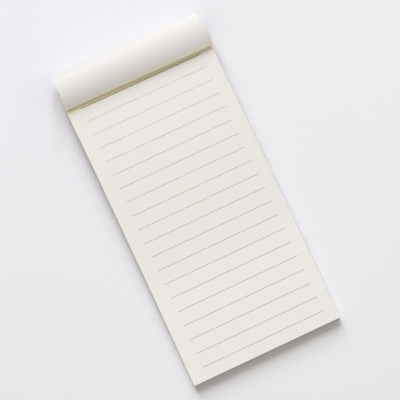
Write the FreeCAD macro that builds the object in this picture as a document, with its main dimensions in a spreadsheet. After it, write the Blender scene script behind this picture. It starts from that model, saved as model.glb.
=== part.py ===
import FreeCAD, Part
import math
import os

import Sketcher

# A slim memo pad bound along its top edge, lying on a table with some of its leaves
# turned back over that edge.  The cover is one sheet of kraft card that wraps the pad:
# back panel, spine, then the front panel, which goes with the turned leaves.  Cover and
# leaves fold back just in front of the edge, arch over it, go round behind it and lie
# tucked under the pad, which they lift at its top end.
#
# Frame: +X across the page, +Y from the foot of the page to its bound head, +Z up.
# The origin is the middle of the footprint, on the table.  Lengths in millimetres.

# ---------------------------------------------------------------- driving sizes

SIZES = {
    "pad_width": 84.0,        # page and cover, side to side
    "pad_length": 169.0,      # page, foot to bound head
    "block_thick": 5.0,       # leaves still to be written on
    "turned_thick": 1.0,      # leaves turned back over the head
    "kraft_thick": 0.3,       # cover card
    "glue_thick": 0.3,        # film of padding glue on the bound edge
    "front_reach": 9.3,       # turned leaves, forward of the head
    "back_reach": 11.0,       # turned leaves, behind the head
    "crown_rise": 6.0,        # top of the turned leaves above the page at the head
    "front_fold": 1.4,        # radius of the fold over the page, outside
    "back_fold": 3.8,         # radius of the shoulder behind the head, outside
    "back_fold_rise": 1.8,    # centre of that shoulder above the page at the head
    "under_bend": 10.0,       # radius of the bend down to the table, outside
    "loop_takeup": 49.5,      # length of leaf that the turn uses before it lies tucked
    "tuck_gap": 0.2,          # between the tucked end and the pad's back
    "head_margin": 10.2,      # head of the page to the first ruled line
    "foot_margin": 6.5,       # least margin under the last ruled line
    "left_margin": 7.6,
    "right_margin": 6.4,
    "line_pitch": 8.0,
    "line_width": 0.3,
    "ink_thick": 0.04,        # the print stands this little above the page
}

doc = FreeCAD.newDocument("memo_pad")
sheet = doc.addObject("Spreadsheet::Sheet", "Sizes")
for row, (alias, value) in enumerate(SIZES.items(), start=1):
    sheet.set(f"A{row}", alias)
    sheet.set(f"B{row}", str(value))
    sheet.setAlias(f"B{row}", alias)
doc.recompute()


def size(alias):
    """A driving size as a number, read back from the sheet."""
    return float(sheet.get(alias))


# ------------------------------------------- places worked out from those sizes
# Each is an expression, so that it follows the sheet.  The pad leans: its foot is on
# the table and the tucked sheets fit under it, so their thickness sets the angle.

TILT = "asin((Sizes.turned_thick + Sizes.kraft_thick + Sizes.tuck_gap) / Sizes.loop_takeup)"
PAGE_LEVEL = "(Sizes.kraft_thick + Sizes.block_thick)"
FOOT_Y = (
    f"(-(Sizes.pad_length + Sizes.back_reach - {PAGE_LEVEL} * sin({TILT})) / 2)"
)
HEAD_Y = f"({FOOT_Y} + Sizes.pad_length)"
EDGE_Z = f"(Sizes.pad_length * sin({TILT}) + {PAGE_LEVEL} * cos({TILT}))"


def pad_point(along, up):
    """Row Y and Z of a point given along the pad's back from its foot, and up from it."""
    row_y = f"{FOOT_Y} + ({along}) * cos({TILT}) - ({up}) * sin({TILT})"
    row_z = f"({along}) * sin({TILT}) + ({up}) * cos({TILT})"
    return row_y, row_z


def lay_on_pad(piece, left, along, up):
    """Put a piece's own corner at a place on the leaning pad, and lean it too."""
    row_y, row_z = pad_point(along, up)
    across = FreeCAD.Vector(1, 0, 0)
    piece.Placement = FreeCAD.Placement(FreeCAD.Vector(), FreeCAD.Rotation(across, 1.0))
    piece.setExpression("Placement.Rotation.Angle", TILT)
    piece.setExpression("Placement.Base.x", left)
    piece.setExpression("Placement.Base.y", row_y)
    piece.setExpression("Placement.Base.z", row_z)


LEFT_EDGE = "-Sizes.pad_width / 2"


def pad_box(name, left, along, up, across, deep, tall):
    """A box that lies on the pad, its sizes and place given as expressions."""
    box = doc.addObject("Part::Box", name)
    box.setExpression("Length", across)
    box.setExpression("Width", deep)
    box.setExpression("Height", tall)
    lay_on_pad(box, left, along, up)
    return box


# ------------------------------------------------- page block: the leaves that lie

def origin_plane(body, role):
    """One of a body's own origin planes."""
    for feature in body.Origin.OriginFeatures:
        if feature.Role == role:
            return feature
    raise ValueError(role)


def make_page_block():
    """The ruled leaves, cut square on all four sides, as one pad of paper."""
    body = doc.addObject("PartDesign::Body", "page_block")
    outline = body.newObject("Sketcher::SketchObject", "page_outline")
    outline.AttachmentSupport = [(origin_plane(body, "XY_Plane"), "")]
    outline.MapMode = "FlatFace"
    half = size("pad_width") / 2
    long = size("pad_length")
    corners = [
        FreeCAD.Vector(-half, 0, 0),
        FreeCAD.Vector(half, 0, 0),
        FreeCAD.Vector(half, long, 0),
        FreeCAD.Vector(-half, long, 0),
    ]
    for here, there in zip(corners, corners[1:] + corners[:1]):
        outline.addGeometry(Part.LineSegment(here, there))
    foot, right, head, left = range(len(corners))
    start, end, axis, origin = 1, 2, -2, -1
    for one, two in ((foot, right), (right, head), (head, left), (left, foot)):
        outline.addConstraint(Sketcher.Constraint("Coincident", one, end, two, start))
    outline.addConstraint(Sketcher.Constraint("Horizontal", head))
    for edge in (right, left):
        outline.addConstraint(Sketcher.Constraint("Vertical", edge))
    outline.addConstraint(Sketcher.Constraint("PointOnObject", foot, start, origin))
    outline.addConstraint(Sketcher.Constraint("Symmetric", foot, start, foot, end, axis))
    wide = outline.addConstraint(Sketcher.Constraint("DistanceX", foot, start, foot, end, 2 * half))
    outline.renameConstraint(wide, "wide")
    outline.setExpression("Constraints.wide", "Sizes.pad_width")
    tall = outline.addConstraint(Sketcher.Constraint("DistanceY", right, start, right, end, long))
    outline.renameConstraint(tall, "long")
    outline.setExpression("Constraints.long", "Sizes.pad_length")
    doc.recompute()

    leaves = body.newObject("PartDesign::Pad", "page_leaves")
    leaves.Profile = outline
    leaves.setExpression("Length", "Sizes.block_thick")
    lay_on_pad(body, "0", "0", "Sizes.kraft_thick")
    return body


# ----------------------------------------------------- ruled lines: the print

def make_ruled_lines():
    """Ruled lines down the page, one thin strip of ink each, from head to foot."""
    room = size("pad_length") - size("head_margin") - size("foot_margin")
    count = int(room // size("line_pitch")) + 1
    strips = []
    for number in range(count):
        middle = f"Sizes.pad_length - Sizes.head_margin - {number} * Sizes.line_pitch"
        strip = pad_box(
            f"ruled_line_{number + 1}",
            left=f"{LEFT_EDGE} + Sizes.left_margin",
            along=f"{middle} - Sizes.line_width / 2",
            up=PAGE_LEVEL,
            across="Sizes.pad_width - Sizes.left_margin - Sizes.right_margin",
            deep="Sizes.line_width",
            tall="Sizes.ink_thick",
        )
        strips.append(strip)
    lines = doc.addObject("Part::Compound", "ruled_lines")
    lines.Links = strips
    return lines


# --------------------------------------------- padding glue along the bound edge

def make_padding_glue():
    """The film of glue that holds every leaf, lying or turned, at the head."""
    return pad_box(
        "padding_glue",
        left=LEFT_EDGE,
        along="Sizes.pad_length",
        up="Sizes.kraft_thick",
        across="Sizes.pad_width",
        deep="Sizes.glue_thick",
        tall="Sizes.block_thick + Sizes.turned_thick",
    )


# ------------------------------------- the turn: where leaves and cover lie together

def crown_circle(front, front_radius, back, back_radius, top):
    """Centre and radius of the arch that touches both folds and reaches the top."""
    front_drop = top - front[1]
    back_drop = top - back[1]
    front_slope = 2 * (front_drop - front_radius)
    back_slope = 2 * (back_drop - back_radius)
    front_rest = front_radius**2 - front_drop**2
    back_rest = back_radius**2 - back_drop**2
    span = 2 * (back[0] - front[0])
    lean = (front_slope - back_slope) / span
    shift = (front_rest - back_rest + back[0] ** 2 - front[0] ** 2) / span
    offset = shift - front[0]
    # (lean * radius + offset)^2 = front_slope * radius + front_rest
    half_linear = lean * offset - front_slope / 2
    rest = offset**2 - front_rest
    radius = rest / (-half_linear + math.sqrt(half_linear**2 - lean**2 * rest))
    return (lean * radius + shift, top - radius), radius


def arc(centre, radius, start, end):
    """A sketch arc, anticlockwise from the start angle to the end angle."""
    circle = Part.Circle(FreeCAD.Vector(*centre, 0), FreeCAD.Vector(0, 0, 1), radius)
    return Part.ArcOfCircle(circle, start, end)


def direction(here, there):
    """The angle of the line from one point to another."""
    return math.atan2(there[1] - here[1], there[0] - here[0])


def make_turn():
    """The line in the YZ plane along which the turned leaves lie on the cover."""
    turn = doc.addObject("Sketcher::SketchObject", "turn")
    row_y, row_z = FreeCAD.Vector(0, 1, 0), FreeCAD.Vector(0, 0, 1)
    across = FreeCAD.Vector(1, 0, 0)
    turn.Placement.Rotation = FreeCAD.Rotation(row_y, row_z, across, "ZXY")

    # The sketch starts from where the sizes put each arc, so it has little to solve.
    skin = size("turned_thick")
    page_level = size("kraft_thick") + size("block_thick")
    tilt = math.asin((skin + size("kraft_thick") + size("tuck_gap")) / size("loop_takeup"))
    length = size("pad_length")
    foot_y = -(length + size("back_reach") - page_level * math.sin(tilt)) / 2
    head_y = foot_y + length
    edge_z = length * math.sin(tilt) + page_level * math.cos(tilt)
    level = page_level + skin
    root = (
        foot_y + length * math.cos(tilt) - level * math.sin(tilt),
        length * math.sin(tilt) + level * math.cos(tilt),
    )
    front_radius = size("front_fold") - skin
    back_radius = size("back_fold") - skin
    under_radius = size("under_bend") - skin
    top = edge_z + size("crown_rise") - skin
    front_y = head_y - size("front_reach") + size("front_fold")
    front_z = root[1] - (root[0] - front_y) * math.tan(tilt) + front_radius / math.cos(tilt)
    front = (front_y, front_z)
    under = (head_y + size("back_reach") - size("under_bend"), size("under_bend"))
    back_z = edge_z + size("back_fold_rise")
    reach = math.sqrt((under_radius - back_radius) ** 2 - (back_z - under[1]) ** 2)
    back = (under[0] + reach, back_z)
    crown, crown_radius = crown_circle(front, front_radius, back, back_radius, top)

    down = -math.pi / 2
    page_down = down + tilt
    fold_foot = (
        front[0] + front_radius * math.cos(page_down),
        front[1] + front_radius * math.sin(page_down),
    )
    tuck_end = head_y - (length - size("loop_takeup"))
    crown_front = direction(crown, front)
    crown_back = direction(crown, back)
    shoulder = direction(under, back)
    root_line = turn.addGeometry(
        Part.LineSegment(FreeCAD.Vector(*root, 0), FreeCAD.Vector(*fold_foot, 0))
    )
    front_arc = turn.addGeometry(arc(front, front_radius, crown_front, page_down + 2 * math.pi))
    crown_arc = turn.addGeometry(arc(crown, crown_radius, crown_back, crown_front))
    back_arc = turn.addGeometry(arc(back, back_radius, shoulder, crown_back))
    under_arc = turn.addGeometry(arc(under, under_radius, down, shoulder))
    tuck_line = turn.addGeometry(
        Part.LineSegment(FreeCAD.Vector(under[0], skin, 0), FreeCAD.Vector(tuck_end, skin, 0))
    )
    summit = turn.addGeometry(Part.Point(FreeCAD.Vector(crown[0], top, 0)), True)

    start, end, centre = 1, 2, 3
    origin = (-1, 1)
    joined = (
        (root_line, end, front_arc, end),
        (front_arc, start, crown_arc, end),
        (crown_arc, start, back_arc, end),
        (back_arc, start, under_arc, end),
        (under_arc, start, tuck_line, start),
    )
    for first, first_point, second, second_point in joined:
        turn.addConstraint(
            Sketcher.Constraint("Tangent", first, first_point, second, second_point)
        )
    turn.addConstraint(Sketcher.Constraint("Horizontal", tuck_line))
    turn.addConstraint(Sketcher.Constraint("PointOnObject", summit, start, crown_arc))
    turn.addConstraint(Sketcher.Constraint("Vertical", summit, start, crown_arc, centre))

    def bind(name, expression, kind, *what):
        number = turn.addConstraint(Sketcher.Constraint(kind, *what))
        turn.renameConstraint(number, name)
        turn.setExpression(f"Constraints.{name}", expression)

    root_level = f"{PAGE_LEVEL} + Sizes.turned_thick"
    root_y, root_z = pad_point("Sizes.pad_length", root_level)
    bind("root_y", root_y, "DistanceX", *origin, root_line, start, root[0])
    bind("root_z", root_z, "DistanceY", *origin, root_line, start, root[1])
    bind("root_slope", f"180 deg + {TILT}", "Angle", root_line, math.pi + tilt)
    inside = "- Sizes.turned_thick"
    bind("front_fold", f"Sizes.front_fold {inside}", "Radius", front_arc, front_radius)
    bind("back_fold", f"Sizes.back_fold {inside}", "Radius", back_arc, back_radius)
    bind("under_bend", f"Sizes.under_bend {inside}", "Radius", under_arc, under_radius)
    front_place = f"{HEAD_Y} - Sizes.front_reach + Sizes.front_fold"
    bind("front_place", front_place, "DistanceX", *origin, front_arc, centre, front[0])
    under_place = f"{HEAD_Y} + Sizes.back_reach - Sizes.under_bend"
    bind("under_place", under_place, "DistanceX", *origin, under_arc, centre, under[0])
    back_place = f"{EDGE_Z} + Sizes.back_fold_rise"
    bind("back_place", back_place, "DistanceY", *origin, back_arc, centre, back_z)
    summit_place = f"{EDGE_Z} + Sizes.crown_rise {inside}"
    bind("summit_place", summit_place, "DistanceY", *origin, summit, start, top)
    bind("tuck_level", "Sizes.turned_thick", "DistanceY", *origin, tuck_line, start, skin)
    tuck_reach = "Sizes.pad_length - Sizes.loop_takeup + Sizes.back_reach - Sizes.under_bend"
    bind(
        "tuck_reach", tuck_reach, "DistanceX", tuck_line, end, tuck_line, start,
        under[0] - tuck_end,
    )
    return turn


def bent_sheet(name, path, thickness):
    """A sheet as wide as the pad, thickened to one side of its path."""
    section = doc.addObject("Part::Offset2D", f"{name}_section")
    section.Source = path
    section.Mode = "Skin"
    section.Join = "Intersection"
    section.Fill = True
    section.setExpression("Value", thickness)
    sheet_piece = doc.addObject("Part::Extrusion", name)
    sheet_piece.Base = section
    sheet_piece.DirMode = "Normal"
    sheet_piece.Symmetric = True
    sheet_piece.Solid = True
    sheet_piece.setExpression("LengthFwd", "Sizes.pad_width")
    return sheet_piece


# ------------------------------------------------ kraft cover: one wrapped sheet

def make_kraft_cover(turn):
    """Back panel, spine and front panel of one kraft sheet, folded round the pad."""
    past_glue = "Sizes.glue_thick + Sizes.kraft_thick"
    over_leaves = f"{PAGE_LEVEL} + Sizes.turned_thick"
    back_panel = pad_box(
        "kraft_back_panel",
        left=LEFT_EDGE,
        along="0",
        up="0",
        across="Sizes.pad_width",
        deep=f"Sizes.pad_length + {past_glue}",
        tall="Sizes.kraft_thick",
    )
    spine = pad_box(
        "kraft_spine",
        left=LEFT_EDGE,
        along="Sizes.pad_length + Sizes.glue_thick",
        up="0",
        across="Sizes.pad_width",
        deep="Sizes.kraft_thick",
        tall=f"{over_leaves} + Sizes.kraft_thick",
    )
    hinge = pad_box(
        "kraft_hinge",
        left=LEFT_EDGE,
        along="Sizes.pad_length",
        up=over_leaves,
        across="Sizes.pad_width",
        deep=past_glue,
        tall="Sizes.kraft_thick",
    )
    front_panel = bent_sheet("kraft_front_panel", turn, "Sizes.kraft_thick")
    cover = doc.addObject("Part::MultiFuse", "kraft_cover")
    cover.Shapes = [back_panel, spine, hinge, front_panel]
    cover.Refine = True
    return cover


# ------------------------------------------------------------------- the pad

turn_line = make_turn()
PIECES = [
    make_page_block(),
    make_ruled_lines(),
    make_padding_glue(),
    bent_sheet("turned_leaves", turn_line, "-Sizes.turned_thick"),
    make_kraft_cover(turn_line),
]
doc.recompute()

for item in doc.Objects:
    if "Invalid" in item.State or "Error" in item.State:
        raise RuntimeError(f"{item.Name} did not build: {item.State}")

os.makedirs("parts", exist_ok=True)
for piece in PIECES:
    if piece.Shape.isNull() or not piece.Shape.isValid():
        raise RuntimeError(f"{piece.Label} has no valid shape")
    piece.Shape.exportStep(f"parts/{piece.Label}.step")
    box = piece.Shape.BoundBox
    print(
        f"{piece.Label}: {len(piece.Shape.Solids)} solid(s), {piece.Shape.Volume:.1f} mm3,"
        f" X {box.XMin:.2f}..{box.XMax:.2f} Y {box.YMin:.2f}..{box.YMax:.2f}"
        f" Z {box.ZMin:.2f}..{box.ZMax:.2f}"
    )
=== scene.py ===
# %% [markdown]
# # A slim memo pad with its first leaves turned back
#
# The pad is a stack of ruled leaves held by a film of glue along its top edge, wrapped in
# one sheet of kraft card.  Someone has turned the cover and a few leaves back over the
# bound edge and tucked them under the pad, so they arch over the edge like a small wave.
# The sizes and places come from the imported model, which this script loads first and never
# changes; what it adds is the look of paper, card, glue and print.

# %% Load the frame
import math
import random

import bpy
from mathutils import Matrix, Vector


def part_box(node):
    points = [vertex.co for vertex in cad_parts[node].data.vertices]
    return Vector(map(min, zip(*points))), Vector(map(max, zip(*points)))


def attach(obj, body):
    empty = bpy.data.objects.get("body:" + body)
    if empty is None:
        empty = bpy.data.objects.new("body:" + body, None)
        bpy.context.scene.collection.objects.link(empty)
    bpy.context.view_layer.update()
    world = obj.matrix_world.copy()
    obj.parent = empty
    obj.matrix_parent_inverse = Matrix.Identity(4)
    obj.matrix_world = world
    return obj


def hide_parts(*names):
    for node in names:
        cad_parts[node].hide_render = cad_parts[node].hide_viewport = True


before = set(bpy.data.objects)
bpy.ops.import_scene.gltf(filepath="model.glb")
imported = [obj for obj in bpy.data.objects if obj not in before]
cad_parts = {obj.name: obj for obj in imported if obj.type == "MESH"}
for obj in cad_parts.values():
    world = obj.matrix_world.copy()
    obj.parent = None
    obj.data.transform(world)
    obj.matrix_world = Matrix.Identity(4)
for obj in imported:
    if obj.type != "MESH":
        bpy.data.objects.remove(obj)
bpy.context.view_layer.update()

print("pieces of the frame:", ", ".join(sorted(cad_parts)))

# %% [markdown]
# ## Sizes
#
# A maker thinks in millimetres and Blender in metres, so every size is written once, in
# millimetres, and multiplied by `MM`.  The pad leans: its foot lies on the table, and the
# tucked sheets lift it further up, so their thickness fixes the angle.  The pad's width and
# place are read from the frame.  Two heights worked out here are printed beside the frame's
# own, so that a slip in the arithmetic would show.

# %% Driving sizes
MM = 0.001
page_low, page_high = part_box("page_block")
turn_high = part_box("turned_leaves")[1]

PAD_WIDTH = page_high.x - page_low.x
PAD_LENGTH = 169 * MM
BLOCK_THICK = 5 * MM
KRAFT_THICK = 0.3 * MM
GLUE_THICK = 0.3 * MM
TURNED_THICK = 1 * MM
LOOP_TAKEUP = 49.5 * MM        # the turn uses this much; the tucked end stops short by it
TUCK_GAP = 0.2 * MM            # slack between the tucked sheets and the pad's back

LEAN = math.asin((TURNED_THICK + KRAFT_THICK + TUCK_GAP) / LOOP_TAKEUP)
PAGE_LEVEL = KRAFT_THICK + BLOCK_THICK
FOOT_Y = page_low.y + PAGE_LEVEL * math.sin(LEAN)
HEAD_Y = FOOT_Y + PAD_LENGTH


def on_pad(x, along, up):
    """A point given along the pad's back from its foot, and up from it."""
    return Vector((
        x,
        FOOT_Y + along * math.cos(LEAN) - up * math.sin(LEAN),
        along * math.sin(LEAN) + up * math.cos(LEAN),
    ))


edge_top = on_pad(0, PAD_LENGTH, PAGE_LEVEL)
print(f"pad {PAD_WIDTH / MM:.1f} mm wide, leaning {math.degrees(LEAN):.2f} degrees")
print(f"bound edge {edge_top.z / MM:.2f} mm up; the frame says {page_high.z / MM:.2f}")

# %% [markdown]
# ## Camera
#
# The pad is seen almost from straight above, from far off through a long lens, so that its
# sides stay parallel.  The camera leans a few degrees towards the reader's side, which just
# shows the cut face at the foot.  The pad lies turned on the table; turning the camera
# instead leaves the pad square to its own axes, where it is easier to build.

# %% Set up the camera
CAMERA_TURN = math.radians(25.07)
CAMERA_LEAN = math.radians(8)
CAMERA_AWAY = 1.42
AIM = Vector((1.72 * MM, -2.69 * MM, 8 * MM))
VIEW_WIDTH = 0.2109       # what the picture takes in at the aim point, metres
SENSOR = 36.0

picture_right = Vector((math.cos(CAMERA_TURN), -math.sin(CAMERA_TURN), 0))
picture_top = Vector((math.sin(CAMERA_TURN), math.cos(CAMERA_TURN), 0))
looking = picture_top * math.sin(CAMERA_LEAN) - Vector((0, 0, math.cos(CAMERA_LEAN)))
camera_up = picture_right.cross(looking)

camera_data = bpy.data.cameras.new("camera")
camera_data.sensor_width = SENSOR
camera_data.lens = SENSOR * CAMERA_AWAY / VIEW_WIDTH
camera = bpy.data.objects.new("camera", camera_data)
turned = Matrix((picture_right, camera_up, -looking)).transposed()
camera.matrix_world = Matrix.Translation(AIM - looking * CAMERA_AWAY) @ turned.to_4x4()
bpy.context.scene.collection.objects.link(camera)
bpy.context.scene.camera = camera
bpy.context.scene.view_settings.view_transform = "Standard"
print(f"lens {camera_data.lens:.0f} mm, {CAMERA_AWAY} m away")

# %% [markdown]
# ## Shader maths that reads like arithmetic
#
# Blender's finishes are networks of small nodes.  Wiring them by hand hides the idea, so
# `Wire` stands for one output socket, and `+`, `-` and `*` on it add Math nodes.  `Finish`
# holds one material and has one method, `node`, that makes any other node.

# %% A wire and a finish
class Wire:
    """An output socket that can be used in sums."""

    def __init__(self, finish, socket):
        self.finish = finish
        self.socket = socket

    def maths(self, operation, first, second):
        settings = {"operation": operation}
        return self.finish.node("ShaderNodeMath", settings, {0: first, 1: second})

    def __add__(self, other):
        return self.maths("ADD", self, other)

    def __sub__(self, other):
        return self.maths("SUBTRACT", self, other)

    def __rsub__(self, other):
        return self.maths("SUBTRACT", other, self)

    def __mul__(self, other):
        return self.maths("MULTIPLY", self, other)

    __radd__ = __add__
    __rmul__ = __mul__

    def larger(self, other):
        """The larger of two values."""
        return self.maths("MAXIMUM", self, other)


class Finish:
    """One material, built node by node."""

    def __init__(self, name):
        self.material = bpy.data.materials.new(name)
        self.material.use_nodes = True
        self.tree = self.material.node_tree
        self.tree.nodes.clear()
        self.place = self.node("ShaderNodeTexCoord", out="Object")
        self.x, self.y, self.z = self.split(self.place)

    def node(self, kind, settings=None, inputs=None, out=0):
        """Any node: its settings first, then the values or links of its sockets."""
        made = self.tree.nodes.new(kind)
        for name, value in (settings or {}).items():
            setattr(made, name, value)
        for key, value in (inputs or {}).items():
            if isinstance(value, Wire):
                self.tree.links.new(value.socket, made.inputs[key])
            else:
                made.inputs[key].default_value = value
        return Wire(self, made.outputs[out])

    def split(self, vector):
        """The three parts of a vector as wires."""
        made = self.node("ShaderNodeSeparateXYZ", inputs={0: vector}).socket.node
        return [Wire(self, socket) for socket in made.outputs]

    def blend(self, share, one, other, how="MIX"):
        """A colour between two colours."""
        settings = {"data_type": "RGBA", "blend_type": how}
        return self.node("ShaderNodeMix", settings, {0: share, 6: one, 7: other}, out=2)

    def noise(self, size, detail=3.0, stretch=(1, 1, 1), rough=0.5):
        """Soft noise whose blots are about `size` metres, stretched along some axes."""
        scaled = self.node(
            "ShaderNodeVectorMath",
            {"operation": "MULTIPLY"},
            {0: self.place, 1: [1 / (size * factor) for factor in stretch]},
        )
        inputs = {"Vector": scaled, "Scale": 1.0, "Detail": detail, "Roughness": rough}
        return self.node("ShaderNodeTexNoise", None, inputs)

    def ramp(self, value, start, end):
        """0 below start, 1 above end, smooth between."""
        inputs = {"Value": value, "From Min": start, "From Max": end}
        settings = {"interpolation_type": "SMOOTHSTEP"}
        return self.node("ShaderNodeMapRange", settings, inputs)

    def surface(self, colour, height, relief, roughness):
        """The finished surface: its colour, its fine relief and how matt it is."""
        bump = {"Height": height, "Distance": relief, "Strength": 1.0}
        normal = self.node("ShaderNodeBump", None, bump)
        inputs = {"Base Color": colour, "Roughness": roughness, "Normal": normal}
        shader = self.node("ShaderNodeBsdfPrincipled", None, inputs)
        output = self.tree.nodes.new("ShaderNodeOutputMaterial")
        self.tree.links.new(shader.socket, output.inputs["Surface"])
        return self.material


print("Wire and Finish are ready")

# %% [markdown]
# ## Table and light
#
# The pad lies on a plain pale table in a bright room.  A tall narrow window beyond the
# pad's head, almost halfway up the sky, gives two fifths of the light, slightly blue, and a
# narrower one to its right gives a sixth.  The first stands in line with the pad's long
# sides, which therefore cast only narrow shadows.  The pale walls all round give the rest,
# slightly warm.  Sunlight would cast hard shadows and an even white sky hardly any; two
# windows and a room give the soft one-sided shadows that lie round the pad.

# %% Table top
TABLE_SIDE = 8.0
TABLE_DARKER = (0.850, 0.849, 0.870, 1)
TABLE_PALER = (0.871, 0.866, 0.882, 1)
# painted light falloff: the table is a trace darker towards one corner
CORNER_SHADE_TONE = (0.985, 0.98, 0.99, 1)
CORNER_REACH = 0.16            # the painted light falloff changes over this far to either side, metres


def table_finish():
    """Smooth painted board, a trace uneven, and painted a little paler towards one corner as
    painted light falloff.
    """
    table = Finish("pale_table")
    patches = table.noise(0.25, detail=2.0)
    grain = table.noise(0.0012, detail=2.0)
    painted = table.blend(patches, TABLE_DARKER, TABLE_PALER)
    # painted light falloff across the table, darker towards one corner
    corner = table.ramp(table.x - table.y, -CORNER_REACH, CORNER_REACH)
    shade_tone = table.blend(corner, CORNER_SHADE_TONE, (1.0, 1.0, 1.0, 1))
    colour = table.blend(1.0, painted, shade_tone, how="MULTIPLY")
    return table.surface(colour, grain, 0.01 * MM, roughness=0.85)


table_mesh = bpy.data.meshes.new("table")
half = TABLE_SIDE / 2
corners = [(-half, -half, 0), (half, -half, 0), (half, half, 0), (-half, half, 0)]
table_mesh.from_pydata(corners, [], [(0, 1, 2, 3)])
table_mesh.materials.append(table_finish())
table_top = bpy.data.objects.new("table", table_mesh)
bpy.context.scene.collection.objects.link(table_top)
print("table laid")

# %% Two windows and the light of the room
ROOM_LIGHT = 0.46
ROOM_COLOUR = (1.0, 0.94, 0.865, 1)
WINDOW_COLOUR = (0.895, 0.94, 1.0)
WINDOW_HEIGHT = math.radians(39.5)
WINDOW_AWAY = 3.0


def add_window(name, turned, size, power):
    """A rectangle of light that faces the pad, placed by its bearing in the picture."""
    data = bpy.data.lights.new(name, "AREA")
    data.shape = "RECTANGLE"
    data.size, data.size_y = size
    data.energy = power
    data.color = WINDOW_COLOUR
    light = bpy.data.objects.new(name, data)
    level = picture_top * math.cos(turned) + picture_right * math.sin(turned)
    towards = level * math.cos(WINDOW_HEIGHT) + Vector((0, 0, math.sin(WINDOW_HEIGHT)))
    light.location = towards * WINDOW_AWAY
    light.rotation_euler = towards.to_track_quat("Z", "Y").to_euler()
    bpy.context.scene.collection.objects.link(light)
    print(f"{name}: {size[0]} by {size[1]} m, {power} W")


add_window("window", turned=math.radians(-25.5), size=(0.9, 2.4), power=61.8)
add_window("side_window", turned=math.radians(2), size=(0.45, 2.4), power=26.0)

world = bpy.data.worlds.new("room")
world.use_nodes = True
room = world.node_tree.nodes["Background"]
room.inputs["Color"].default_value = ROOM_COLOUR
room.inputs["Strength"].default_value = ROOM_LIGHT
bpy.context.scene.world = world
print(f"room light {ROOM_LIGHT}")

# %% [markdown]
# ## Paper
#
# Writing paper is a felt of short fibres.  Held to the light it is cloudy over a few
# millimetres, and close up it has a fine tooth.  A picture of paper would show its seams
# where it repeats, so both are noise: a slow one for the clouds and a quick one, with a
# little long-fibre streak, for the tooth.

# %% The paper itself
PAPER = (0.905, 0.88, 0.855, 1)
PAPER_SHADE = (0.885, 0.857, 0.82, 1)
PAPER_RELIEF = 0.015 * MM


def paper_relief(paper):
    """Tooth and fibres of uncoated paper as one height."""
    tooth = paper.noise(0.25 * MM, detail=4.0, rough=0.6)
    fibre = paper.noise(0.5 * MM, detail=2.0, stretch=(0.4, 2.2, 1))
    return tooth * 0.6 + fibre * 0.4


def cloudy_paper(paper):
    """The plain colour of the paper, a little cloudy."""
    return paper.blend(paper.noise(7 * MM, detail=3.0), PAPER_SHADE, PAPER)


def up_the_pad(finish):
    """How far up the pad from its foot, as a wire."""
    return (finish.y - FOOT_Y) * math.cos(LEAN) + finish.z * math.sin(LEAN)


print(f"paper relief {PAPER_RELIEF / MM:.3f} mm")

# %% [markdown]
# ## The open page's finish
#
# Padding glue has soaked a little way in from the bound edge and left the paper there the
# colour of straw, deepened as painted warm shade where the turn shades the page: fully as
# far as the first ruled line, then more weakly for a few millimetres more, as painted
# shade, and less at both ends of the edge, where more light reaches.  The page is also
# painted a trace greyer over its upper half, as painted shade towards the head.  Each of
# these is a soft step between two places, so that a size can be changed without painting
# anything again.

# %% Finish of the open page
# straw glue stain, also used as painted warm shade in the shadow of the turn
GLUE_STAIN_AND_SHADE = (0.895, 0.825, 0.60, 1)
STAIN_AND_SHADE_TO = PAD_LENGTH - 11.35 * MM       # the edge of the glue stain and painted warm shade, from the foot of the page
SOAKED_BLUR = 0.1 * MM
SHADE_TAIL_REACH = 4.6 * MM                    # how far the weak tail of painted warm shade runs on past it
SHADE_TAIL_SHARE = 0.22
LEFT_END = (-42.1 * MM, -41.6 * MM)       # the stain and painted shade grow to full strength here
RIGHT_END = (33 * MM, 36 * MM)            # and weakens again here
LIGHTER_AT_ENDS = 0.7                        # this share of it is missing at both ends, painted lighter where more light reaches
UPPER_HALF = (35 * MM, 80 * MM)           # painted shade: the page gets greyer here, from its foot
UPPER_SHADE_TONE = (0.96, 0.957, 0.945, 1)


def page_finish():
    """The open page: a glue stain at its head deepened as painted warm shade, and painted shade
    over its upper half.
    """
    paper = Finish("open_page")
    along = up_the_pad(paper)
    # glue stain deepened as painted warm shade under the turn, a weak tail of painted shade past
    # it, painted lighter at both ends
    deep = paper.ramp(along, STAIN_AND_SHADE_TO - SOAKED_BLUR, STAIN_AND_SHADE_TO + SOAKED_BLUR)
    shade_tail = paper.ramp(along, STAIN_AND_SHADE_TO - SHADE_TAIL_REACH, STAIN_AND_SHADE_TO) * SHADE_TAIL_SHARE
    left_end = 1 - paper.ramp(paper.x, *LEFT_END)
    right_end = paper.ramp(paper.x, *RIGHT_END)
    soaked = deep.larger(shade_tail) * (1 - (left_end + right_end) * LIGHTER_AT_ENDS)
    # painted shade: a trace greyer over the upper half of the page, towards the turn
    upper = paper.ramp(along, *UPPER_HALF)
    clean = paper.blend(upper, cloudy_paper(paper), UPPER_SHADE_TONE, how="MULTIPLY")
    colour = paper.blend(soaked, clean, GLUE_STAIN_AND_SHADE)
    return paper.surface(colour, paper_relief(paper), PAPER_RELIEF, roughness=0.92)


open_paper = page_finish()
# the band of glue stain and painted warm shade reaches this far
print(f"glue has soaked in for {(PAD_LENGTH - STAIN_AND_SHADE_TO) / MM:.2f} mm")

# %% [markdown]
# ## The turned leaves' finish
#
# The turned leaves are painted greyer than the open page as painted shade, and greyer still
# where they bend down behind the pad.  Glue has soaked into them from their root to the
# front fold, and a little of it shows past the fold; this straw colour is deepened as painted
# warm shade.  The fold itself is a sharp bend, and its top carries a paler painted highlight.
# The leaves are one long line bent into an arch, so a height and a place along Y are enough
# to tell these parts from each other.

# %% Finish of the turned leaves
# painted shade: the turned leaves are greyer than the open page, more so behind the pad
TURNED_SHADE_TONE = (0.95, 0.95, 0.95, 1)
BEHIND_SHADE_TONE = (0.72, 0.72, 0.72, 1)
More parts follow.
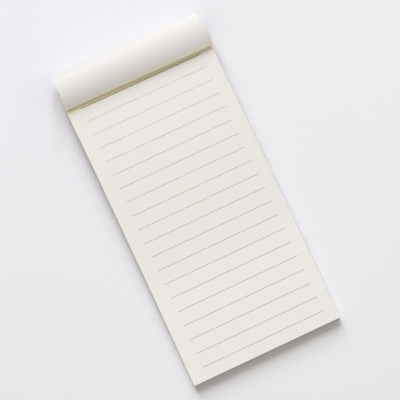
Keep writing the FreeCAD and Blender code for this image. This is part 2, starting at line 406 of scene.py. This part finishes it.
# painted highlight along the top of the front fold
CREASE_HIGHLIGHT = (0.97, 0.915, 0.77, 1)
FOLD_FRONT = HEAD_Y - 9.4 * MM            # about the foremost line of the turned leaves
PAST_FOLD = 4 * MM                        # how far the glue stain and painted warm shade show past the fold
PAST_FOLD_SHARE = 0.3
UNDER_FOLD = (10.6 * MM, 11.6 * MM)       # heights: full stain and painted warm shade below, less above
CLEAR_OF_TUCK = (8 * MM, 9 * MM)          # heights: the tucked ends lie below
FRONT_ENDS = (HEAD_Y - 2 * MM, HEAD_Y)    # the front of the arch ends between these
BACK_BENDS = (HEAD_Y + 6.5 * MM, HEAD_Y + 10.3 * MM)     # and its back bends down here, where painted shade grows
LOW_BACK = (8 * MM, 10 * MM)              # heights: painted shade makes the back of the arch greyer below
CREASE_FADES = (FOLD_FRONT + 0.5 * MM, FOLD_FRONT + 1.3 * MM)
CREASE_RISES = (11.2 * MM, 11.9 * MM)     # heights: the painted highlight on the fold starts between these


def leaf_finish():
    """The turned leaves: a glue stain deepened as painted warm shade from their root to the
    fold, painted shade behind the pad, and a painted highlight on the fold.
    """
    paper = Finish("leaf_paper")
    # glue stain deepened as painted warm shade near the fold, where the leaves face the page
    past_fold = 1 - paper.ramp(paper.y, FOLD_FRONT, FOLD_FRONT + PAST_FOLD)
    under_fold = 1 - paper.ramp(paper.z, *UNDER_FOLD)
    in_turn = paper.ramp(paper.z, *CLEAR_OF_TUCK)
    in_front = 1 - paper.ramp(paper.y, *FRONT_ENDS)
    soaked = (past_fold * PAST_FOLD_SHARE).larger(under_fold) * in_turn * in_front
    # painted shade: greyer behind the pad and low on the back of the arch
    far_back_shade = paper.ramp(paper.y, *BACK_BENDS)
    low_back_shade = (1 - paper.ramp(paper.z, *LOW_BACK)) * (1 - in_front)
    shade_tone = paper.blend(far_back_shade.larger(low_back_shade), TURNED_SHADE_TONE, BEHIND_SHADE_TONE)
    plain = paper.blend(1.0, cloudy_paper(paper), shade_tone, how="MULTIPLY")
    tinted = paper.blend(soaked, plain, GLUE_STAIN_AND_SHADE)
    # painted highlight: the top of the front fold is painted paler
    crease_highlight = (1 - paper.ramp(paper.y, *CREASE_FADES)) * paper.ramp(paper.z, *CREASE_RISES)
    colour = paper.blend(crease_highlight, tinted, CREASE_HIGHLIGHT)
    return paper.surface(colour, paper_relief(paper), PAPER_RELIEF, roughness=0.92)


leaf_paper = leaf_finish()
print(f"the front fold is near y = {FOLD_FRONT / MM:.1f} mm")

# %% [markdown]
# ## Cut edges
#
# Cut paper shows its leaves as fine lines.  The block's own mesh has a step for each leaf,
# and this finish adds the streaks along them: noise that is long along the cut and only a
# leaf high.  The long sides are clean and pale.  The foot's cut face, which faces away from
# the light, is painted darker as painted shade.

# %% Finish of the cut edges
EDGE_SHADE = (0.88, 0.865, 0.845, 1)
EDGE_PALE = (0.95, 0.94, 0.925, 1)
EDGE_RELIEF = 0.04 * MM
# painted shade on the cut face at the foot, which faces away from the light
FOOT_PAINTED_SHADE = (0.16, 0.14, 0.12, 1)
FOOT_SHARE = 0.35
FOOT_ENDS = (FOOT_Y + 0.5 * MM, FOOT_Y + 1.5 * MM)


def edge_finish():
    """The guillotined edges of many leaves."""
    edge = Finish("cut_edges")
    leaves = edge.noise(0.9 * MM, detail=2.0, stretch=(6, 6, 0.12))
    sides = edge.blend(leaves, EDGE_SHADE, EDGE_PALE)
    # painted shade: the foot's cut face is darkened
    foot_shade_mask = 1 - edge.ramp(edge.y, *FOOT_ENDS)
    colour = edge.blend(foot_shade_mask * FOOT_SHARE, sides, FOOT_PAINTED_SHADE)
    return edge.surface(colour, leaves, EDGE_RELIEF, roughness=0.95)


edge_paper = edge_finish()
print(f"the foot's cut is darkened by {FOOT_SHARE:.0%}")

# %% [markdown]
# ## Kraft card
#
# Kraft card is unbleached, so it is brown and full of pale and dark fibres.  The cover shows
# only in the tunnel of the turn and under the pad.  One noise would look like clouds; two of
# them, one stretched along the pad and one across it, are cut off high, so that only their
# peaks are left as separate fibres.

# %% Finish of the kraft card
KRAFT_DEEP = (0.36, 0.225, 0.125, 1)
KRAFT_LIGHT = (0.44, 0.285, 0.165, 1)
PALE_FIBRE = (0.60, 0.43, 0.27, 1)
PALE_SHARE = 0.45
DARK_FIBRE = (0.22, 0.13, 0.07, 1)
DARK_SHARE = 0.5
PALE_PEAKS = (0.60, 0.72)      # the noise turns into fibre between these
DARK_PEAKS = (0.62, 0.74)
KRAFT_RELIEF = 0.03 * MM


def kraft_finish():
    """Unbleached card: a warm brown ground with pale and dark fibres."""
    kraft = Finish("kraft_card")
    clouds = kraft.noise(5 * MM, detail=3.0)
    pale = kraft.ramp(kraft.noise(0.6 * MM, stretch=(0.5, 3.0, 1)), *PALE_PEAKS)
    dark = kraft.ramp(kraft.noise(0.7 * MM, stretch=(2.6, 0.5, 1)), *DARK_PEAKS)
    ground = kraft.blend(clouds, KRAFT_DEEP, KRAFT_LIGHT)
    with_pale = kraft.blend(pale * PALE_SHARE, ground, PALE_FIBRE)
    colour = kraft.blend(dark * DARK_SHARE, with_pale, DARK_FIBRE)
    height = pale - dark * 0.6 + clouds * 0.3
    return kraft.surface(colour, height, KRAFT_RELIEF, roughness=0.85)


kraft_card = kraft_finish()
print(f"kraft fibres stand {KRAFT_RELIEF / MM:.2f} mm up")

# %% [markdown]
# ## Dried glue
#
# Padding glue dries to a thin satin film.  It is brushed along the edge, so its noise is
# stretched that way: paler on the ridges that the brush left and deeper between them.  A
# clear film over white paper would be nearer the truth, but so thin a film never shows its
# depth, and its colour is enough.

# %% Finish of the glue
GLUE_DEEP = (0.62, 0.55, 0.40, 1)
GLUE_PALE = (0.80, 0.74, 0.60, 1)
GLUE_RELIEF = 0.05 * MM


def glue_finish():
    """A brushed film of dried glue, deeper in colour between the ridges."""
    glue = Finish("padding_glue")
    brushed = glue.noise(1.5 * MM, detail=3.0, stretch=(6, 1, 0.5))
    colour = glue.blend(brushed, GLUE_DEEP, GLUE_PALE)
    return glue.surface(colour, brushed, GLUE_RELIEF, roughness=0.45)


dried_glue = glue_finish()
print(f"brush marks {GLUE_RELIEF / MM:.2f} mm deep")

# %% [markdown]
# ## Ruling ink
#
# Ruling ink is a thin grey-brown, uneven where the roller carried less of it.  It gets
# fainter towards the head in two soft steps, except for the first line, whose ink is painted
# much darker as painted shade where it lies in the shadow of the turn.  One finish serves
# every line, because it reads how far up the page it is.

# %% Finish of the ink
INK_HEAVY = (0.45, 0.42, 0.39, 1)
INK_THIN = (0.61, 0.58, 0.54, 1)
INK_BREAKS = (0.35, 0.7)       # the noise turns from heavy to thin ink between these
HALF_WAY = (60 * MM, 90 * MM)
HALF_WAY_FADE = 0.11
NEAR_HEAD = (112 * MM, 145 * MM)
NEAR_HEAD_FADE = 0.22
FIRST_LINE = (153 * MM, 155 * MM)
# ink of the first line, painted much darker as painted shade in the shadow of the turn
FIRST_LINE_INK_AND_SHADE = (0.17, 0.125, 0.08, 1)
INK_RELIEF = 0.01 * MM


def ink_finish():
    """Ruling ink, broken up where it ran thin and fainter towards the head."""
    ink = Finish("ruling_ink")
    thin = ink.noise(1.2 * MM, detail=3.0, stretch=(2.5, 1, 1))
    printed = ink.blend(ink.ramp(thin, *INK_BREAKS), INK_HEAVY, INK_THIN)
    along = up_the_pad(ink)
    half_way = ink.ramp(along, *HALF_WAY) * HALF_WAY_FADE
    near_head = ink.ramp(along, *NEAR_HEAD) * NEAR_HEAD_FADE
    faded = ink.blend(near_head + half_way, printed, PAPER)
    # painted shade: the first line lies in the shadow of the turn and is painted darker
    colour = ink.blend(ink.ramp(along, *FIRST_LINE), faded, FIRST_LINE_INK_AND_SHADE)
    return ink.surface(colour, thin, INK_RELIEF, roughness=0.8)


ruling_ink = ink_finish()
print(f"ink {HALF_WAY_FADE + NEAR_HEAD_FADE:.0%} fainter near the head")

# %% [markdown]
# ## Helpers for meshes
#
# Every piece is a list of points and a list of faces.  `make_piece` turns them into an
# object and `seat` ties the object to its piece of the frame.  Real paper is never quite
# true; `Wander` gives a smooth random curve from a few sine waves, and the same seed always
# gives the same curve.

# %% Mesh helpers
SHARP_ABOVE = math.radians(40)
chance = random.Random(20)


class Wander:
    """A smooth random curve about zero, at most about 1 high."""

    def __init__(self, longest, waves=4):
        self.waves = []
        for number in range(waves):
            length = longest / (number + 1) * chance.uniform(0.8, 1.2)
            self.waves.append((length, chance.uniform(0, math.tau), 1 / (number + 1)))
        self.total = sum(height for _, _, height in self.waves)

    def __call__(self, place):
        swing = sum(
            height * math.sin(math.tau * place / length + phase)
            for length, phase, height in self.waves
        )
        return swing / self.total


def smooth_step(value, start, end):
    """0 before start, 1 after end, smooth between."""
    share = min(max((value - start) / (end - start), 0.0), 1.0)
    return share * share * (3 - 2 * share)


def make_piece(name, points, faces, materials, material_of=None):
    """A mesh object in the frame, smooth but for its sharp edges."""
    mesh = bpy.data.meshes.new(name)
    mesh.from_pydata(points, [], faces)
    for material in materials:
        mesh.materials.append(material)
    if material_of is not None:
        mesh.polygons.foreach_set("material_index", material_of)
    mesh.polygons.foreach_set("use_smooth", [True] * len(faces))
    mesh.set_sharp_from_angle(angle=SHARP_ABOVE)
    mesh.update()
    piece = bpy.data.objects.new(name, mesh)
    bpy.context.scene.collection.objects.link(piece)
    print(f"{name}: {len(faces)} faces")
    return piece


def seat(piece, node):
    """Ride on the pad and stand for the frame's own node, which it hides."""
    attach(piece, "root")
    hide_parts(node)


print(f"bends above {math.degrees(SHARP_ABOVE):.0f} degrees stay sharp")

# %% [markdown]
# ## The page block
#
# Fifty leaves lie on the pad.  Each could be its own thin slab, but only their edges and
# the top leaf ever show, so the block is one skin that steps in and out round the edge of
# every leaf, and a grid for the open page.  A guillotine leaves the edges within a few
# hundredths of a millimetre; handling then shifts the leaves a little more.

# %% Unevenness of the stack
LEAF_THICK = 0.1 * MM
LEAVES = round(BLOCK_THICK / LEAF_THICK)
CELLS_ACROSS = 42
CELLS_ALONG = 85
PAGE_SWELL = 0.12 * MM         # how far the open page lifts between hollows
FOLD_CLEAR = 150 * MM          # past here the turned leaves press the page flat
SWELL_FADES = 25 * MM          # over this length before it
CUT_SHIFT = 0.025 * MM         # how far single leaves stand off the true cut
CUT_WAVE = 0.02 * MM           # how far the edge of each leaf swings
BULGE = 0.3 * MM               # the stack leans out a little half way down its right side
FOOT_FLARE = 0.28 * MM         # its left side turns out a little towards the foot
FOOT_FLARE_END = 60 * MM
HEAD_FLARE = 0.35 * MM         # and towards the head
HEAD_FLARE_START = 125 * MM
HEAD_FLARE_FULL = 155 * MM
FOOT_SKEW = 0.24 * MM          # the foot was cut this far out of square
SKEW_PIVOT = 0.55              # about a place at this share of the width

swell_along = Wander(150 * MM, waves=3)
swell_across = Wander(110 * MM, waves=2)


def page_swell(x, along):
    """How far the open page stands above the flat stack here."""
    free = 1 - smooth_step(along, FOLD_CLEAR - SWELL_FADES, FOLD_CLEAR)
    waves = 0.6 * swell_along(along) + 0.4 * swell_across(x + 0.3 * along)
    return PAGE_SWELL * free * max(0.0, 0.5 + 0.5 * waves)


def leaf_insets():
    """For each side of one leaf, a shift in from the true cut and a wave along it."""
    sides = []
    for _ in range(4):
        shift = chance.gauss(0, CUT_SHIFT)
        wave = Wander(90 * MM, waves=3)
        sides.append((shift, wave))
    return sides


print(f"{LEAVES} leaves of {LEAF_THICK / MM:.1f} mm")

# %% Edges of every leaf
def ring_places():
    """Round the page once: side number and how far along that side, from 0 to 1."""
    counts = (CELLS_ACROSS, CELLS_ALONG, CELLS_ACROSS, CELLS_ALONG)
    return [
        (side, step / count)
        for side, count in enumerate(counts)
        for step in range(count)
    ]


def leaf_outline(insets):
    """The outline of one leaf as (x, along) pairs: foot, right, head, then left side."""
    def inset(side, place):
        shift, wave = insets[side]
        return shift + CUT_WAVE * wave(place)

    outline = []
    for side, share in ring_places():
        if side in (0, 2):
            share_x = share if side == 0 else 1 - share
            along = 0.0 if side == 0 else PAD_LENGTH
        else:
            share_x = 1.0 if side == 1 else 0.0
            along = PAD_LENGTH * (share if side == 1 else 1 - share)
        foot = inset(0, share_x * PAD_WIDTH) + FOOT_SKEW * (share_x - SKEW_PIVOT)
        bulge = BULGE * math.sin(math.pi * along / PAD_LENGTH)
        right = PAD_WIDTH / 2 - inset(1, along) + bulge
        flare = FOOT_FLARE * (1 - smooth_step(along, 0, FOOT_FLARE_END))
        flare += HEAD_FLARE * smooth_step(along, HEAD_FLARE_START, HEAD_FLARE_FULL)
        left = -PAD_WIDTH / 2 + inset(3, along) - flare
        x = left + (right - left) * share_x
        outline.append((x, foot + (PAD_LENGTH - foot) * along / PAD_LENGTH))
    return outline


print(f"{len(ring_places())} points round each leaf")

# %% Build the block
OPEN_PAGE, CUT_EDGE = 0, 1     # the block's two materials, by number


def add_cap(points, faces, kinds, first, facing_up):
    """A grid of faces whose border is the ring that starts at the point `first`."""
    border = {}
    for number, (side, share) in enumerate(ring_places()):
        step = round(share * (CELLS_ACROSS, CELLS_ALONG)[side % 2])
        key = (
            (step, 0), (CELLS_ACROSS, step),
            (CELLS_ACROSS - step, CELLS_ALONG), (0, CELLS_ALONG - step),
        )[side]
        border[key] = first + number
    index = {}
    for row in range(CELLS_ALONG + 1):
        west = points[border[(0, row)]]
        east = points[border[(CELLS_ACROSS, row)]]
        for column in range(CELLS_ACROSS + 1):
            if (column, row) in border:
                index[(column, row)] = border[(column, row)]
                continue
            x = west.x + (east.x - west.x) * column / CELLS_ACROSS
            along = PAD_LENGTH * row / CELLS_ALONG
            lift = page_swell(x, along) if facing_up else 0.0
            level = PAGE_LEVEL if facing_up else KRAFT_THICK
            index[(column, row)] = len(points)
            points.append(on_pad(x, along, level + lift))
    for row in range(CELLS_ALONG):
        for column in range(CELLS_ACROSS):
            face = [
                index[(column, row)], index[(column + 1, row)],
                index[(column + 1, row + 1)], index[(column, row + 1)],
            ]
            faces.append(tuple(face if facing_up else reversed(face)))
            kinds.append(OPEN_PAGE)


def build_page_block():
    """The stack as one closed skin with an open page on top."""
    points, faces, kinds = [], [], []
    around = len(ring_places())
    for leaf in range(LEAVES):
        outline = leaf_outline(leaf_insets())
        for level in (leaf, leaf + 1):
            up = KRAFT_THICK + level * LEAF_THICK
            for x, along in outline:
                lift = page_swell(x, along) if leaf == LEAVES - 1 else 0.0
                points.append(on_pad(x, along, up + lift))
    for ring in range(2 * LEAVES - 1):
        for place in range(around):
            here = ring * around + place
            there = ring * around + (place + 1) % around
            faces.append((here, there, there + around, here + around))
            kinds.append(CUT_EDGE)
    add_cap(points, faces, kinds, (2 * LEAVES - 1) * around, True)
    add_cap(points, faces, kinds, 0, False)
    return make_piece("memo_leaves", points, faces, [open_paper, edge_paper], kinds)


page_block = build_page_block()
seat(page_block, "page_block")

# %% [markdown]
# ## Ruled lines
#
# Print has no real thickness.  It could be painted on by the page's finish, but the lines
# are a piece of their own here, so each is a hair of ink laid on the swelling page: a strip
# of short boxes that follows the paper.  The sheet went through the press a trace askew, so
# the lines are turned against the page by a third of a degree.  The first line came out
# nearer to the second than the rest are to each other.

# %% Rule the page
HEAD_MARGIN = 10.2 * MM
FOOT_MARGIN = 6.5 * MM
LEFT_MARGIN = 7.6 * MM
RIGHT_MARGIN = 6.4 * MM
LINE_PITCH = 8 * MM
LINE_WIDTH = 0.3 * MM
INK_THICK = 0.04 * MM
LINE_STEPS = 35                # boxes along one line
PRINT_SKEW = math.radians(0.33)
PRINT_SCALE = 0.9985           # the print came out a trace short
LINES_CROWD = 0.76 * MM        # how far the first line comes down towards the others
CROWD_LEAN = 0.0083            # and how much more of that for each metre to the right
CROWD_FADE = 0.3               # the next line has this share of it, and so on down


def strip_faces(first, steps):
    """Faces of a four-sided bar whose sections follow one another."""
    faces = [(first, first + 1, first + 2, first + 3)]
    for step in range(steps):
        low, high = first + 4 * step, first + 4 * (step + 1)
        for side in range(4):
            following = (side + 1) % 4
            faces.append((low + side, high + side, high + following, low + following))
    last = first + 4 * steps
    faces.append((last + 3, last + 2, last + 1, last))
    return faces


def build_ruled_lines():
    """Every line on the open page as thin strips of ink."""
    points, faces = [], []
    count = int((PAD_LENGTH - HEAD_MARGIN - FOOT_MARGIN) // LINE_PITCH) + 1
    left = -PAD_WIDTH / 2 + LEFT_MARGIN
    right = PAD_WIDTH / 2 - RIGHT_MARGIN
    centre = (left + right) / 2
    middle_line = PAD_LENGTH / 2
    for number in range(count):
        line = PAD_LENGTH - HEAD_MARGIN - number * LINE_PITCH * PRINT_SCALE
        drift = -(line - middle_line) * math.sin(PRINT_SKEW)
        first = len(points)
        for step in range(LINE_STEPS + 1):
            x = left + (right - left) * step / LINE_STEPS
            crowding = (LINES_CROWD + CROWD_LEAN * x) * CROWD_FADE**number
            along = line + (x - centre) * math.sin(PRINT_SKEW) - crowding
            for side, up in ((-1, 0), (1, 0), (1, 1), (-1, 1)):
                place = along + side * LINE_WIDTH / 2
                level = PAGE_LEVEL + page_swell(x + drift, place) + up * INK_THICK
                points.append(on_pad(x + drift, place, level))
        faces += strip_faces(first, LINE_STEPS)
    return make_piece("ruling", points, faces, [ruling_ink])


ruling = build_ruled_lines()
seat(ruling, "ruled_lines")

# %% [markdown]
# ## The turn
#
# Cover and leaves run together, so they share one line: forward along the page, up round
# the front fold, over the crown, round the shoulder, down behind the head and back under
# the pad.  A free curve would need many guessed points.  Runs and arcs follow from a few
# reaches and radii, so each stretch is a straight run or an arc that meets its neighbours
# without a corner.  The turn is not quite square to the pad: its front fold opens from left
# to right, and it lies a little further forward at the right end.  So the line is worked
# out anew for every place across the pad.

# %% The line that leaves and cover share
FRONT_REACH = (9.3 * MM, 9.95 * MM)       # at the left end and at the right end
BACK_REACH = (11.1 * MM, 10.6 * MM)
FRONT_FOLD = (1.25 * MM, 1.6 * MM)
CROWN_RISE = 6 * MM                       # above the bound edge, like the next rise
BACK_FOLD_RISE = 1.8 * MM
BACK_FOLD = 3.8 * MM                      # radii of the shoulder and of the bend below it
UNDER_BEND = 10 * MM
RUN_STEPS = (4, 12, 26, 14, 16, 40)       # points along each of the six stretches


def line_run(start, end, outward):
    """A straight stretch; what lies outside it is on its outward side."""
    length = math.dist(start, end)

    def at(share, offset):
        y = start[0] + (end[0] - start[0]) * share + outward[0] * offset
        z = start[1] + (end[1] - start[1]) * share + outward[1] * offset
        return y, z

    return at, lambda offset: length


def arc_run(centre, radius, start, end):
    """An arc from one angle to another, bent round its centre."""
    def at(share, offset):
        angle = start + (end - start) * share
        reach = radius + offset
        return centre[0] + reach * math.cos(angle), centre[1] + reach * math.sin(angle)

    return at, lambda offset: abs(end - start) * (radius + offset)


def crown_circle(front, front_radius, back, back_radius, top):
    """Centre and radius of the arch that touches both folds and reaches the top."""
    front_drop = top - front[1]
    back_drop = top - back[1]
    front_slope = 2 * (front_drop - front_radius)
    back_slope = 2 * (back_drop - back_radius)
    front_rest = front_radius**2 - front_drop**2
    back_rest = back_radius**2 - back_drop**2
    span = 2 * (back[0] - front[0])
    lean = (front_slope - back_slope) / span
    shift = (front_rest - back_rest + back[0] ** 2 - front[0] ** 2) / span
    offset = shift - front[0]
    half_linear = lean * offset - front_slope / 2
    rest = offset**2 - front_rest
    radius = rest / (-half_linear + math.sqrt(half_linear**2 - lean**2 * rest))
    return (lean * radius + shift, top - radius), radius


def direction(here, there):
    """The angle of the line from one point to another."""
    return math.atan2(there[1] - here[1], there[0] - here[0])


print(f"{sum(RUN_STEPS)} steps round the turn")

# %% Put the stretches together
def turn_runs(x):
    """The six stretches of the shared line at one place across the pad."""
    across = smooth_step(x, -PAD_WIDTH / 2, PAD_WIDTH / 2)

    def here(ends):
        return ends[0] + (ends[1] - ends[0]) * across

    front_radius = here(FRONT_FOLD) - TURNED_THICK
    back_radius = BACK_FOLD - TURNED_THICK
    under_radius = UNDER_BEND - TURNED_THICK
    root = on_pad(0, PAD_LENGTH, PAGE_LEVEL + TURNED_THICK)
    front_y = HEAD_Y - here(FRONT_REACH) + here(FRONT_FOLD)
    front_z = root.z - (root.y - front_y) * math.tan(LEAN) + front_radius / math.cos(LEAN)
    front = (front_y, front_z)
    under = (HEAD_Y + here(BACK_REACH) - UNDER_BEND, UNDER_BEND)
    back_z = edge_top.z + BACK_FOLD_RISE
    back_y = under[0] + math.sqrt((under_radius - back_radius) ** 2 - (back_z - under[1]) ** 2)
    back = (back_y, back_z)
    top = edge_top.z + CROWN_RISE - TURNED_THICK
    crown, crown_radius = crown_circle(front, front_radius, back, back_radius, top)

    page_down = 3 * math.pi / 2 + LEAN
    fold_foot = (
        front[0] + front_radius * math.cos(page_down),
        front[1] + front_radius * math.sin(page_down),
    )
    crown_front = direction(crown, front)
    crown_back = direction(crown, back)
    shoulder = direction(under, back)
    down_pad = (math.sin(LEAN), -math.cos(LEAN))
    tuck_start = (under[0], TURNED_THICK)
    tuck_end = (HEAD_Y - (PAD_LENGTH - LOOP_TAKEUP), TURNED_THICK)
    return [
        line_run((root.y, root.z), fold_foot, down_pad),
        arc_run(front, front_radius, page_down, crown_front),
        arc_run(crown, crown_radius, crown_front, crown_back),
        arc_run(back, back_radius, crown_back, shoulder),
        arc_run(under, under_radius, shoulder, -math.pi / 2),
        line_run(tuck_start, tuck_end, (0, -1)),
    ]


runs = turn_runs(0)
middle_length = sum(length(TURNED_THICK / 2) for _, length in runs)
print(f"a middle leaf is {middle_length / MM:.1f} mm long round the turn")
print(f"crown {(edge_top.z + CROWN_RISE) / MM:.2f} mm up; the frame says {turn_high.z / MM:.2f}")

# %% [markdown]
# ## The turned leaves
#
# Ten leaves went over together.  One slab as thick as all ten would look like card, so each
# leaf is a thin slab of its own.  Pressed at the fold and under the pad, they are a little
# loose over the crown, where the inner ones sag away from the outer ones.  They also
# slipped sideways as they were turned, each by its own amount, so their ends fan out.  A
# leaf on the outside of the bend has further to go and ends sooner under the pad.
#
# Places along the turn are counted in stretches: from 1 to 2 is the front fold, to 3 the
# crown, to 4 the shoulder, to 5 the bend behind the pad and to 6 the tucked end.

# %% How the turned sheets hang
LOOSENS = (1.3, 2.6)           # from the front fold on, sheets get looser here
TIGHTENS = (3.4, 4.9)          # and tighter again here
ROUND_FOLD = (1.2, 2.0)
UP_THE_CROWN = (2.1, 2.45)
OVER_THE_CROWN = (2.5, 3.0)
ROUND_SHOULDER = (3.1, 3.6)
RIGHT_OUT_AT_FOLD = 0.55 * MM  # how far the right end moves out round the fold
RIGHT_OUT_AT_CROWN = 0.5 * MM  # how much further it stands out on the way up
RIGHT_IN_BEHIND = 0.95 * MM    # how far it comes in past the crown
LEFT_OUT = 0.1 * MM            # how far the left end stands out at first
LEFT_IN_BEHIND = 0.6 * MM      # how far it comes in past the crown
LEFT_IN_AT_SHOULDER = 0.4 * MM  # and how much further round the shoulder


def looseness(run, share):
    """How loose the stack is along the turn: 0 where it is pressed, 1 at the crown."""
    place = run + share
    return smooth_step(place, *LOOSENS) * (1 - smooth_step(place, *TIGHTENS))


def slipped(x, run, share):
    """How far a turned sheet has slipped to the right, at one place across and along it."""
    place = run + share
    behind = smooth_step(place, *OVER_THE_CROWN)
    rising = smooth_step(place, *UP_THE_CROWN) * (1 - behind)
    right_end = RIGHT_OUT_AT_FOLD * smooth_step(place, *ROUND_FOLD)
    right_end += RIGHT_OUT_AT_CROWN * rising - RIGHT_IN_BEHIND * behind
    left_end = LEFT_IN_BEHIND * behind - LEFT_OUT
    left_end += LEFT_IN_AT_SHOULDER * smooth_step(place, *ROUND_SHOULDER)
    across = (x + PAD_WIDTH / 2) / PAD_WIDTH
    return left_end + (right_end - left_end) * across


crown_right = slipped(PAD_WIDTH / 2, 2, UP_THE_CROWN[1] - 2)
print(f"the right end stands out {crown_right / MM:.2f} mm at the crown")

# %% Turned leaves
TURNED_LEAVES = 10
LEAF_GAP = 0.015 * MM          # air between two leaves where they are pressed
LOOSE = 0.9 * MM               # how far the innermost leaf sags from the outermost
SWAY = 0.08 * MM               # how far the ends of each leaf wander on their own
SHIFTS = (0.12 * MM, 0.4 * MM)  # how far the inner leaves slipped to the right
OUTER_COLUMNS = 56
INNER_COLUMNS = 8


def turn_columns(count, width):
    """Places across a sheet, closer together towards its two ends."""
    return [-width / 2 * math.cos(math.pi * step / count) for step in range(count + 1)]


def bent_slab(sections):
    """Faces of a slab: each section lists its points out along one side and back."""
    around = len(sections[0])
    points = [point for section in sections for point in section]
    faces = []
    for column in range(len(sections) - 1):
        low = column * around
        for place in range(around):
            following = (place + 1) % around
            here, there = low + place, low + following
            faces.append((here, here + around, there + around, there))
    half_way = around // 2
    for first, flip in ((0, False), ((len(sections) - 1) * around, True)):
        for place in range(half_way - 1):
            face = (
                first + place, first + place + 1,
                first + around - 2 - place, first + around - 1 - place,
            )
            faces.append(tuple(reversed(face)) if flip else face)
    return points, faces


def leaf_section(x, leaf, shift, sway):
    """One leaf's section at x: out along its outer face, back along its inner face."""
    runs = turn_runs(x)
    middle = (leaf + 0.5) * LEAF_THICK
    spent = sum(length(middle) for _, length in runs[:-1])
    tuck_share = (PAD_LENGTH - spent) / runs[-1][1](middle)
    sag = LOOSE * (TURNED_LEAVES - 1 - leaf) / (TURNED_LEAVES - 1)

    def side(offset):
        line = []
        for number, ((at, _), steps) in enumerate(zip(runs, RUN_STEPS)):
            last = number == len(runs) - 1
            for step in range(steps + (1 if last else 0)):
                share = step / steps
                away = offset - sag * looseness(number, share)
                y, z = at(share * (tuck_share if last else 1), away)
                aside = slipped(x, number, share) + shift + sway(number + share) * SWAY
                line.append(Vector((x + aside, y, z)))
        return line

    outer = side((leaf + 1) * LEAF_THICK - LEAF_GAP / 2)
    inner = side(leaf * LEAF_THICK + LEAF_GAP / 2)
    return outer + inner[::-1]


def build_turned_leaves():
    """All turned leaves in one piece, each a closed slab."""
    points, faces = [], []
    for leaf in range(TURNED_LEAVES):
        outermost = leaf == TURNED_LEAVES - 1
        columns = turn_columns(OUTER_COLUMNS if outermost else INNER_COLUMNS, PAD_WIDTH)
        shift = 0.0 if outermost else chance.uniform(*SHIFTS)
        sway = Wander(2.5, waves=3)
        sections = [leaf_section(x, leaf, shift, sway) for x in columns]
        leaf_points, leaf_faces = bent_slab(sections)
        first = len(points)
        points += leaf_points
        faces += [tuple(first + corner for corner in face) for face in leaf_faces]
    return make_piece("turned_over_leaves", points, faces, [leaf_paper])


turned_leaves = build_turned_leaves()
seat(turned_leaves, "turned_leaves")

# %% [markdown]
# ## The kraft cover
#
# The cover is one sheet: under the pad, up the bound edge, forward over the root of the
# turned leaves, then round the turn inside them.  Separate panels would leave joints that a
# folded sheet does not have, so its section is one long line given thickness.

# %% Kraft cover
COVER_COLUMNS = 24
PANEL_STEPS = 40
SPINE_STEPS = 6
COVER_NARROW = 0.986           # in the turn, so that it stays just inside the leaves' ends


def cover_line(x):
    """The cover's middle line at x, from the pad's foot to its tucked end."""
    half = KRAFT_THICK / 2
    back = PAD_LENGTH + GLUE_THICK + half
    over = PAGE_LEVEL + TURNED_THICK + half
    corner = 2 * half
    line = []
    for step in range(PANEL_STEPS):
        along = (back - corner) * step / PANEL_STEPS
        line.append(on_pad(x, along, half))
    for centre_up, start, end in ((half + corner, -90, 0), (over - corner, 0, 90)):
        for step in range(SPINE_STEPS + 1):
            angle = math.radians(start + (end - start) * step / SPINE_STEPS)
            line.append(on_pad(
                x,
                back - corner + corner * math.cos(angle),
                centre_up + corner * math.sin(angle),
            ))
    for number, ((at, _), steps) in enumerate(zip(turn_runs(x), RUN_STEPS)):
        last = number == len(RUN_STEPS) - 1
        for step in range(steps + (1 if last else 0)):
            share = step / steps
            y, z = at(share, -half - LOOSE * looseness(number, share))
            line.append(Vector((x * COVER_NARROW + slipped(x, number, share), y, z)))
    return line


def thickened(line, thickness):
    """A closed outline round a line in the YZ plane."""
    left, right = [], []
    for number, point in enumerate(line):
        before = line[max(number - 1, 0)]
        after = line[min(number + 1, len(line) - 1)]
        along = (after - before).normalized()
        normal = Vector((0, -along.z, along.y)) * thickness / 2
        left.append(point + normal)
        right.append(point - normal)
    return left + right[::-1]


def build_kraft_cover():
    """The whole cover as one bent slab."""
    columns = [
        -PAD_WIDTH / 2 + PAD_WIDTH * step / COVER_COLUMNS
        for step in range(COVER_COLUMNS + 1)
    ]
    sections = [thickened(cover_line(x), KRAFT_THICK) for x in columns]
    points, faces = bent_slab(sections)
    return make_piece("kraft_wrapper", points, faces, [kraft_card])


kraft_cover = build_kraft_cover()
seat(kraft_cover, "kraft_cover")

# %% [markdown]
# ## Padding glue
#
# A thin film of glue along the bound edge is all that holds the pad together.  It was
# brushed on while the stack was clamped, so its outer face is slightly uneven.  A plain box
# would look moulded; a bar whose thickness wanders a little does not.

# %% Padding glue
GLUE_COLUMNS = 60
GLUE_UNEVEN = 0.1              # the share of the thickness that wanders
glue_wave = Wander(12 * MM, waves=5)


def build_padding_glue():
    """The film as a row of sections along the bound edge."""
    points, faces = [], []
    low, high = KRAFT_THICK, PAGE_LEVEL + TURNED_THICK
    for step in range(GLUE_COLUMNS + 1):
        x = -PAD_WIDTH / 2 + PAD_WIDTH * step / GLUE_COLUMNS
        thick = GLUE_THICK * (1 - GLUE_UNEVEN + GLUE_UNEVEN * glue_wave(x))
        for up, out in ((low, 0), (low, thick), (high, thick), (high, 0)):
            points.append(on_pad(x, PAD_LENGTH + out, up))
    faces += strip_faces(0, GLUE_COLUMNS)
    return make_piece("glue_film", points, faces, [dried_glue])


glue_film = build_padding_glue()
seat(glue_film, "padding_glue")
